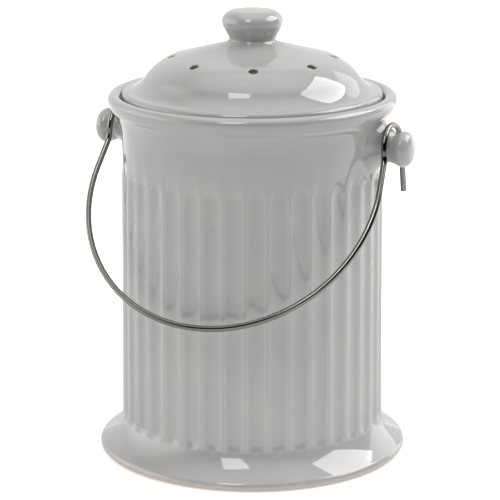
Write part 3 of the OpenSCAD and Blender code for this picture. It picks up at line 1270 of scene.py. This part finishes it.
@dataclass
class Lid:
    """The vented lid: a flange with a spigot under it, a dome and a knob."""

    lid_r: float
    ledge_z: float
    knob_top_z: float
    mouth_r: float
    flange_t: float = 7.4
    flange_edge: float = 0.6  # radius of the round on the flange's lower edge
    brim_w: float = 4.2
    dome_h: float = 28.3
    side_slope: float = 56.0
    crown_slope: float = 14.5
    crown_w: float = 6.0  # the crown ends this far from the seat of the knob
    dome_t: float = 5.6
    spigot_h: float = 8.0
    spigot_gap: float = 1.2
    spigot_t: float = 6.5
    filter_t: float = 10.0
    vent_count: int = 8
    vent_d: float = 5.6
    vent_ring_d: float = 97.0
    vent_lip: float = 0.9  # the glaze rounds the edge of a vent off
    patch_half: int = 6  # steps of the mesh from the middle of a vent to the side of the patch round it
    knob_d: float = 36.4
    knob_neck_d: float = 27.8
    knob_base_d: float = 31.2
    seat_angle: float = 148.0
    columns_per_vent: int = 48
    flange_z: float = field(init=False)
    seat_z: float = field(init=False)
    seat_r: float = field(init=False)
    knob_h: float = field(init=False)
    spigot_r: float = field(init=False)
    spigot_z: float = field(init=False)
    filter_bore_r: float = field(init=False)
    filter_top_z: float = field(init=False)
    shoulder: Point = field(init=False)
    brow: Point = field(init=False)

    def __post_init__(self) -> None:
        """Works out the sizes that follow from the others."""
        self.flange_z = self.ledge_z + self.flange_t
        self.seat_z = self.flange_z + self.dome_h
        self.seat_r = self.knob_base_d / 2
        self.knob_h = self.knob_top_z - self.seat_z
        self.spigot_r = self.mouth_r - self.spigot_gap
        self.spigot_z = self.ledge_z - self.spigot_h
        self.filter_bore_r = self.spigot_r - self.spigot_t
        self.filter_top_z = self.spigot_z + self.filter_t + 0.5
        self.shoulder = (0.8 * self.lid_r + 1.6, self.flange_z + 0.275 * self.dome_h)
        self.brow = (0.6 * self.lid_r + 0.4, self.flange_z + 0.7 * self.dome_h)

    def dome_outline(self) -> Outline:
        """Draws the outside of the lid, from the edge of the flange to the seat of the knob.

        Returns:
            The outline.
        """
        bend = 0.42 * self.flange_t
        brim = (self.lid_r - self.brim_w, self.flange_z)
        side_up, crown_up = 180 - self.side_slope, 180 - self.crown_slope
        reach = self.brow[0] - self.seat_r - self.crown_w
        cap = (self.seat_r + self.crown_w, self.brow[1] + reach * math.tan(math.radians(self.crown_slope)))
        under = (self.lid_r - self.flange_edge, self.ledge_z)
        return [
            under,
            *ease(under, 0, (self.lid_r, self.ledge_z + self.flange_edge), 90, 4),
            (self.lid_r, self.flange_z - bend),
            *ease((self.lid_r, self.flange_z - bend), 90, (self.lid_r - bend, self.flange_z), 180, 10),
            brim,
            *ease(brim, 180, self.shoulder, side_up, 20),
            *ease(self.shoulder, side_up, self.brow, crown_up, 40),
            cap,
            *ease(cap, crown_up, (self.seat_r, self.seat_z), self.seat_angle, 12),
        ]

    def ceiling_outline(self) -> Outline:
        """Draws the inside of the lid, from the middle of its ceiling down to the spigot.

        Returns:
            The outline.
        """
        top_z = self.seat_z - 1.2 * self.dome_t
        brow_in = (self.brow[0] - 2, self.brow[1] - 1.07 * self.dome_t)
        side = (self.filter_bore_r - 4, self.shoulder[1] - self.dome_t)
        down = -self.crown_slope - 8
        ledge = (side[0], self.filter_top_z)
        bend = 0.8
        return [
            (0, top_z),
            (self.seat_r, top_z),
            *ease((self.seat_r, top_z), 0, brow_in, down, 20),
            *ease(brow_in, down, side, -90, 30),
            ledge,
            (self.filter_bore_r, self.filter_top_z),
            (self.filter_bore_r, self.spigot_z + bend),
            *ease((self.filter_bore_r, self.spigot_z + bend), -90, (self.filter_bore_r + bend, self.spigot_z), 0, 4),
            (self.spigot_r - 1, self.spigot_z),
            *ease((self.spigot_r - 1, self.spigot_z), 0, (self.spigot_r, self.spigot_z + 1), 90, 5),
            (self.spigot_r, self.ledge_z),
        ]

    def rows_across(self, outline: Outline, low: float, high: float, rows: int) -> tuple[Outline, int]:
        """Lays even rows across the vents, in place of the points that the outline has there.

        Args:
            outline: The dome or the ceiling, whose points above the filter are replaced.
            low: Radius of the innermost row.
            high: Radius of the outermost row.
            rows: Number of rows.

        Returns:
            The new outline, and the number of the first of these rows in it.
        """
        heights = sorted(p for p in outline if p[1] > self.filter_top_z + 1)
        radii = [low + (high - low) * i / (rows - 1) for i in range(rows)]
        if outline[0][0] > outline[-1][0] or outline[0][0] > low:
            radii.reverse()
        spare = 0.3
        crossed = [i for i, p in enumerate(outline) if p in heights and low - spare < p[0] < high + spare]
        first = crossed[0]
        rows_there = [(r, read_off(heights, r)) for r in radii]
        return [*outline[:first], *rows_there, *outline[crossed[-1] + 1 :]], first

    def skin(self) -> bpy.types.Object:
        """Builds the lid, with its vents bored square to the dome and their edges rounded.

        Returns:
            The piece, closed all round.
        """
        columns = self.vent_count * self.columns_per_vent
        ring_r = self.vent_ring_d / 2
        half = self.patch_half
        reach = half * 2 * math.pi * ring_r / columns
        dome, dome_row = self.rows_across(self.dome_outline(), ring_r - reach, ring_r + reach, 2 * half + 1)
        ceiling, ceiling_row = self.rows_across(self.ceiling_outline(), ring_r - reach, ring_r + reach, 2 * half + 1)
        skin = Skin()
        turns = [2 * math.pi * i / columns - math.pi / 2 for i in range(columns)]
        outline = [*dome, (0, self.seat_z), *ceiling]
        grid = [skin.ring((r * math.cos(t), r * math.sin(t), z) for t in turns) for r, z in outline if r > 0]
        top = len(dome) - 1  # the mesh is closed in the middle between this row and the next
        rows = {"dome": dome_row, "ceiling": ceiling_row - 1 + len(dome)}
        middles = [round((vent + 0.5) * self.columns_per_vent) for vent in range(self.vent_count)]
        steps = range(2 * half)
        corners = [(row, middle - half) for row in rows.values() for middle in middles]
        patched = {(row + j, (column + i) % columns) for row, column in corners for j in steps for i in steps}
        for j, (a, b) in enumerate(zip(grid, [*grid[1:], grid[0]])):
            for i in range(columns):
                k = (i + 1) % columns
                if j != top and (j, i) not in patched:
                    skin.faces.append((a[i], a[k], b[k], b[i]))
        skin.cap(grid[top], (0, 0, self.seat_z))
        skin.cap(grid[top + 1][::-1], (0, 0, ceiling[0][1]))
        thin_lit_lips: dict[int, float] = {}
        bores: dict[int, float] = {}
        for middle in middles:
            borders = [self.border(grid, row, middle - half, 2 * half) for row in rows.values()]
            under = sorted(ceiling[: ceiling_row + 2 * half + 2])
            rings = self.bore_vent(skin, borders, turns[middle], sorted(dome), under)
            # the vents' lips are marked for the thin glaze and its painted highlight, their bores for painted shade
            thin_lit_lips.update((number, 1.0) for ring in rings[3:6] for number in ring)
            bores.update((number, 1.0) for ring in rings[7:10] for number in ring)
        obj = skin.build("lid_skin")
        mark(obj, Mark.THIN_AND_HIGHLIGHT, thin_lit_lips)
        mark(obj, Mark.BORE_SHADE, bores)
        return obj

    def border(self, grid: Sequence[Sequence[int]], row: int, column: int, size: int) -> list[int]:
        """Walks round a square patch of the lid's mesh.

        Args:
            grid: The rows of the mesh.
            row: First row of the patch.
            column: First column of the patch.
            size: Number of steps along one side.

        Returns:
            The numbers of the points on the border, in order.
        """
        count = len(grid[0])
        steps = [(0, i) for i in range(size)] + [(j, size) for j in range(size)]
        steps += [(size, size - i) for i in range(size)] + [(size - j, 0) for j in range(size)]
        return [grid[row + j][(column + i) % count] for j, i in steps]

    def bore_vent(
        self,
        skin: Skin,
        borders: Sequence[list[int]],
        turn: float,
        dome: Sequence[Point],
        ceiling: Sequence[Point],
    ) -> list[list[int]]:
        """Fills the two patches of a vent with rings round its hole, and lines the hole.

        Args:
            skin: The lid's mesh.
            borders: The border of the patch on the dome and of the one on the ceiling.
            turn: Angle of the vent round the lid, in radians.
            dome: Heights of the dome, by radius.
            ceiling: Heights of the ceiling, by radius.

        Returns:
            The rings, from the dome through the hole to the ceiling.
        """
        out = Vector((math.cos(turn), math.sin(turn), 0))
        side = Vector((-math.sin(turn), math.cos(turn), 0))
        tilt = math.radians(self.crown_slope + 4)
        axis = out * math.sin(tilt) + Vector((0, 0, math.cos(tilt)))
        slope = out * math.cos(tilt) - Vector((0, 0, math.sin(tilt)))
        middle = out * (self.vent_ring_d / 2) + Vector((0, 0, self.brow[1]))
        hole_r = self.vent_d / 2

        def on(heights: Sequence[Point], flat: Vector) -> Vector:
            """Moves a point along the hole's axis onto the dome or the ceiling.

            Args:
                heights: Heights of the surface, by radius.
                flat: The point.

            Returns:
                The point on the surface.
            """
            point = flat.copy()
            for _ in range(6):
                gap = read_off(heights, math.hypot(point.x, point.y)) - point.z
                point += axis * gap
            return point

        def ring(
            border: Sequence[int], heights: Sequence[Point], radius: float, share: float, drop: float
        ) -> list[int]:
            """Adds a ring between the border and the hole, a little below the surface.

            Args:
                border: The border of the patch.
                heights: Heights of the surface, by radius.
                radius: Radius of the ring where it is fully round.
                share: How round the ring is, from 0 on the border to 1 for a circle.
                drop: Depth below the surface.

            Returns:
                The numbers of the points of the ring.
            """
            points = []
            for number in border:
                offset = skin.points[number] - middle
                across = Vector((offset.dot(slope), offset.dot(side)))
                across = across.lerp(across.normalized() * radius, share)
                points.append(on(heights, middle + slope * across.x + side * across.y) - axis * drop)
            return skin.ring(points)

        above, below = borders
        rings = [above, ring(above, dome, hole_r + self.vent_lip, 0.5, 0)]
        for i in range(6):
            bend = math.radians(90 * i / 5)
            radius = hole_r + self.vent_lip * (1 - math.sin(bend))
            rings.append(ring(above, dome, radius, 1, self.vent_lip * (1 - math.cos(bend))))
        rings.append(ring(above, dome, hole_r, 1, self.dome_t / 2))
        rings += [ring(below, ceiling, hole_r, 1, 0), ring(below, ceiling, hole_r + 1, 0.5, 0), below]
        for a, b in zip(rings, rings[1:]):
            skin.bridge(a, b)
        return rings


@dataclass
class Knob:
    """The knob of the lid, made apart and stuck on before firing."""

    lid: Lid

    def skin(self) -> bpy.types.Object:
        """Builds the knob.

        Returns:
            The piece, closed below.
        """
        lid = self.lid
        knob, height = lid.knob_d / 2, lid.knob_h
        seat = (lid.seat_r, 0.0)
        neck = (lid.knob_neck_d / 2, 0.12 * height)
        under = (knob - 1, 0.44 * height)
        taper = math.degrees(math.atan2(0.28 * height, under[0] - neck[0]))
        widest = (knob, 0.63 * height)
        over = (0.7 * knob, 0.965 * height)
        outline = [
            (0, 0.0),
            seat,
            *ease(seat, lid.seat_angle, neck, 90, 10),
            *ease(neck, 90, under, taper, 16),
            *ease(under, taper, widest, 90, 12),
            *ease(widest, 90, over, 166, 20),
            *ease(over, 166, (0, height), 180, 12),
        ]
        skin = Skin()
        skin.revolve([(r, z + lid.seat_z) for r, z in outline], 128)
        return skin.build("knob_skin")


@dataclass
class Filter:
    """The charcoal pad that drops out of the lid."""

    radius: float
    low_z: float
    high_z: float
    edge: float = 0.8
    puff: float = 0.35  # how far the needled faces sink between their fibres

    def skin(self) -> bpy.types.Object:
        """Builds the pad, with a nap that makes its faces a little uneven.

        Returns:
            The piece, closed all round.
        """
        rows = 40
        inner = self.radius - self.edge
        side_h = self.high_z - self.low_z - 2 * self.edge
        flat = [inner * i / rows for i in range(rows + 1)]
        outline = [
            *[(r, self.low_z) for r in flat],
            *ease((inner, self.low_z), 0, (self.radius, self.low_z + self.edge), 90, 5),
            *[(self.radius, self.low_z + self.edge + side_h * i / 6) for i in range(1, 7)],
            *ease((self.radius, self.high_z - self.edge), 90, (inner, self.high_z), 180, 5),
            *[(r, self.high_z) for r in reversed(flat[:-1])],
        ]
        skin = Skin()
        skin.revolve(outline, 160)
        middle_z = (self.low_z + self.high_z) / 2
        for point in skin.points:
            sink = self.puff * (0.5 + 0.5 * noise.noise(point * 0.35))
            inward = 1 if point.z < middle_z else -1
            point.z += inward * sink
            point.x *= 1 - sink / self.radius / 2
            point.y *= 1 - sink / self.radius / 2
        return skin.build("charcoal_pad")


# ---- Studio ----------------------------------------------------------------


def way_to(bearing: float, height: float) -> Point3:
    """Works out a direction from the object.

    Args:
        bearing: Degrees round the object, 0 in front of the bail and 90 beyond the right lug.
        height: Degrees above the level of the object's middle.

    Returns:
        The direction, of length 1.
    """
    a, e = math.radians(bearing), math.radians(height)
    return math.sin(a) * math.cos(e), -math.cos(a) * math.cos(e), math.sin(e)


@dataclass(frozen=True)
class Softbox:
    """A rectangular lamp on a stand, turned towards the middle of the object."""

    name: str
    bearing: float  # degrees, as way_to takes them
    height: float
    distance: float  # metres
    width: float  # metres
    tall: float  # metres
    watts: float

    def set_up(self, aim: Vector) -> None:
        """Adds the lamp.

        Args:
            aim: The point that it is turned towards, in metres.
        """
        back = Vector(way_to(self.bearing, self.height))
        lamp = bpy.data.lights.new(self.name, "AREA")
        lamp.shape = "RECTANGLE"
        lamp.size, lamp.size_y, lamp.energy = self.width, self.tall, self.watts
        obj = bpy.data.objects.new(self.name, lamp)
        bpy.context.scene.collection.objects.link(obj)
        obj.location = aim + back * self.distance
        obj.rotation_euler = back.to_track_quat("Z", "Y").to_euler()


@dataclass(frozen=True)
class Wash:
    """A soft patch of light on the walls and ceiling of the room."""

    bearing: float  # degrees, as way_to takes them
    height: float
    spread: tuple[float, float]  # cosine of the angle off its middle where it ends, and where it is full
    level: float

    def way(self) -> Point3:
        """Returns the direction of its middle from the object."""
        return way_to(self.bearing, self.height)


@dataclass
class Studio:
    """A white floor, a room that is dim behind the camera, softboxes and the camera."""

    aim: Vector
    floor_size: float = 12.0
    bounce: float = 0.6  # level of the light that the floor beside the foot throws up
    floor_gap: float = 0.1  # below the foot ring, so that the two don't share a plane, in millimetres
    camera_bearing: float = 22.0
    camera_pitch: float = 14.59
    camera_place: Point3 = (0.5173, -1.2804, 0.4813)
    lens: float = 169.22
    pan: float = 0.0585  # the camera is turned this much to its left, in degrees
    washes: tuple[Wash, ...] = (
        Wash(-75, 0, (0.6, 0.99), 2.0),
        Wash(150, 10, (0.5, 0.95), 0.15),
        Wash(180, 0, (0.75, 0.98), 0.19),
        Wash(0, 90, (0.4, 0.95), 0.24),
        Wash(0, 90, (0.7, 0.98), 1.2),
    )
    backdrop: Wash = Wash(202, 0, (0.2, 0.7), 0.85)  # the white behind the object, which only reflections see
    softboxes: tuple[Softbox, ...] = (
        Softbox("window_softbox", 122, 42, 1.6, 1.22, 0.8, 14.0),
        Softbox("front_softbox", 2, 50, 1.6, 0.45, 0.78, 4.6),
        Softbox("right_softbox", 155, 15, 1.6, 0.7, 1.2, 2.6),
    )

    def floor(self) -> None:
        """Lays the floor, which is staged and isn't part of the object."""
        half = self.floor_size / 2
        mesh = bpy.data.meshes.new("floor")
        mesh.from_pydata([(-half, -half, 0), (half, -half, 0), (half, half, 0), (-half, half, 0)], [], [(0, 1, 2, 3)])
        obj = bpy.data.objects.new("floor", mesh)
        bpy.context.scene.collection.objects.link(obj)
        obj.location.z = -self.floor_gap * MM
        mesh.materials.append(self.paper())
        obj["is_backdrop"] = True

    def paper(self) -> bpy.types.Material:
        """Makes the white paper of the floor. It keeps the shadow, and shows white beyond it.

        Returns:
            The material.
        """
        material, tree = new_tree("white_paper")
        place = add_node(tree, "ShaderNodeTexCoord").outputs["Object"]
        away = add_node(tree, "ShaderNodeVectorMath", {"operation": "LENGTH"}, {0: place})
        lift = add_node(
            tree,
            "ShaderNodeMapRange",
            {"From Min": 0.08, "From Max": 0.4, "To Min": 0.42, "To Max": 1.0, "interpolation_type": "SMOOTHSTEP"},
            {"Value": away.outputs["Value"]},
        )
        across = add_node(
            tree,
            "ShaderNodeVectorMath",
            {"operation": "DOT_PRODUCT", 1: self.backdrop.way()},
            {0: place},
        )
        behind = add_node(
            tree,
            "ShaderNodeMapRange",
            {"From Min": 0.1, "From Max": 0.8, "To Max": 0.5},
            {"Value": across.outputs["Value"]},
        )
        path = add_node(tree, "ShaderNodeLightPath")
        mirrored = add_node(
            tree,
            "ShaderNodeMath",
            {"operation": "MULTIPLY"},
            {0: self.reflected(tree, path), 1: behind.outputs["Result"]},
        )
        fade = add_node(
            tree,
            "ShaderNodeMapRange",
            {"From Min": 0.1, "From Max": 0.45, "To Min": self.bounce, "To Max": 0.0},
            {"Value": away.outputs["Value"]},
        )
        bounced = add_node(
            tree,
            "ShaderNodeMath",
            {"operation": "MULTIPLY"},
            {0: fade.outputs["Result"], 1: path.outputs["Is Diffuse Ray"]},
        )
        seen = add_node(
            tree,
            "ShaderNodeMath",
            {"operation": "MAXIMUM"},
            {0: mirrored.outputs[0], 1: path.outputs["Is Camera Ray"]},
        )
        glow = add_node(
            tree,
            "ShaderNodeMath",
            {"operation": "MULTIPLY_ADD"},
            {0: seen.outputs[0], 1: lift.outputs["Result"], 2: bounced.outputs[0]},
        )
        white = add_node(tree, "ShaderNodeEmission", {"Color": linear("#ffffff")}, {"Strength": glow.outputs[0]})
        paper = add_node(tree, "ShaderNodeBsdfDiffuse", {"Color": linear("#f2f2f2")})
        both = add_node(tree, "ShaderNodeAddShader", None, {0: paper.outputs[0], 1: white.outputs[0]})
        add_node(tree, "ShaderNodeOutputMaterial", None, {"Surface": both.outputs[0]})
        return material

    def reflected(self, tree: bpy.types.NodeTree, path: bpy.types.Node) -> bpy.types.NodeSocket:
        """Returns 1 for a ray that comes by a reflection or through something, and 0 for the rest."""
        rays = {0: path.outputs["Is Glossy Ray"], 1: path.outputs["Is Transmission Ray"]}
        return add_node(tree, "ShaderNodeMath", {"operation": "MAXIMUM"}, rays).outputs[0]

    def patch(self, tree: bpy.types.NodeTree, way: bpy.types.NodeSocket, wash: Wash) -> bpy.types.NodeSocket:
        """Adds one soft patch of the room.

        Args:
            tree: The room's node tree.
            way: The direction from the object.
            wash: The patch.

        Returns:
            Its level in that direction.
        """
        near = add_node(tree, "ShaderNodeVectorMath", {"operation": "DOT_PRODUCT", 1: wash.way()}, {0: way})
        level = add_node(
            tree,
            "ShaderNodeMapRange",
            {
                "From Min": wash.spread[0],
                "From Max": wash.spread[1],
                "To Max": wash.level,
                "interpolation_type": "SMOOTHSTEP",
            },
            {"Value": near.outputs["Value"]},
        )
        return level.outputs["Result"]

    def room(self) -> None:
        """Paints the room: soft patches of light on dim walls, and white wherever the camera looks."""
        world = bpy.data.worlds.new("room")
        bpy.context.scene.world = world
        world.use_nodes = True
        tree = world.node_tree
        tree.nodes.clear()
        path = add_node(tree, "ShaderNodeLightPath")
        way = add_node(tree, "ShaderNodeTexCoord").outputs["Generated"]
        level = self.patch(tree, way, self.washes[0])
        for wash in self.washes[1:]:
            more = self.patch(tree, way, wash)
            level = add_node(tree, "ShaderNodeMath", {"operation": "ADD"}, {0: level, 1: more}).outputs[0]
        white = add_node(
            tree,
            "ShaderNodeMath",
            {"operation": "MULTIPLY"},
            {0: self.patch(tree, way, self.backdrop), 1: self.reflected(tree, path)},
        )
        for other in (white.outputs[0], path.outputs["Is Camera Ray"]):
            level = add_node(tree, "ShaderNodeMath", {"operation": "MAXIMUM"}, {0: level, 1: other}).outputs[0]
        background = add_node(tree, "ShaderNodeBackground", {"Color": linear("#ffffff")}, {"Strength": level})
        add_node(tree, "ShaderNodeOutputWorld", None, {"Surface": background.outputs[0]})

    def camera(self) -> None:
        """Sets the camera up in front of the right lug, a little above the lid."""
        lens = bpy.data.cameras.new("camera")
        lens.lens = self.lens
        lens.sensor_width = 36.0
        lens.clip_start = 0.05
        obj = bpy.data.objects.new("camera", lens)
        bpy.context.scene.collection.objects.link(obj)
        obj.location = self.camera_place
        obj.rotation_euler = (
            math.radians(90 - self.camera_pitch),
            0.0,
            math.radians(self.camera_bearing + self.pan),
        )
        bpy.context.scene.camera = obj

    def set_up(self) -> None:
        """Sets up the whole studio."""
        self.floor()
        self.room()
        for softbox in self.softboxes:
            softbox.set_up(self.aim)
        self.camera()
        bpy.context.scene.view_settings.view_transform = "Standard"


# ---- The whole crock -------------------------------------------------------


def size_of(node: str) -> tuple[Vector, Vector]:
    """Returns the lowest and highest corner of a node of the frame, in millimetres."""
    low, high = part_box(node)
    return Vector(low) / MM, Vector(high) / MM


def build_crock() -> None:
    """Builds and dresses every piece of the crock."""
    glaze = TinGlaze().material()
    pot_high = size_of("crock_body")[1]
    pot = Pot(foot_r=pot_high.x, rim_z=pot_high.z)
    dress(pot.skin(), Body.CROCK, "crock_body", glaze)

    right = Lug(pot, side=1)
    bail = Bail(right)
    hook_top = bail.placed()[1]
    dress(right.skin("lug_right_skin", hook_top), Body.CROCK, "lug_right", glaze)
    dress(Lug(pot, side=-1).skin("lug_left_skin", hook_top), Body.CROCK, "lug_left", glaze)
    dress(bail.skin(), Body.BAIL, "bail_handle", DrawnSteel().material())

    lid = Lid(
        lid_r=size_of("lid_dome")[1].x,
        ledge_z=pot.rim_z - pot.ledge_drop,
        knob_top_z=size_of("lid_knob")[1].z,
        mouth_r=pot.neck_r - pot.wall_t,
    )
    dress(lid.skin(), Body.LID, "lid_dome", glaze)
    dress(Knob(lid).skin(), Body.LID, "lid_knob", glaze)

    pad_low, pad_high = size_of("charcoal_filter")
    pad = Filter(radius=pad_high.x, low_z=pad_low.z, high_z=pad_high.z)
    dress(pad.skin(), Body.FILTER, "charcoal_filter", CarbonFelt().material())


def main() -> None:
    """Loads the frame, builds the crock and sets up the studio."""
    logging.basicConfig(level=logging.INFO, format="%(name)s: %(message)s")
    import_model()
    cad_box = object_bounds()
    build_crock()
    bpy.context.view_layer.update()
    low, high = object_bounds()
    Studio(aim=(low + high) / 2).set_up()
    {"cad": [list(v) for v in cad_box], "visual": [list(v) for v in (low, high)]}


if __name__ == "__main__":
    main()
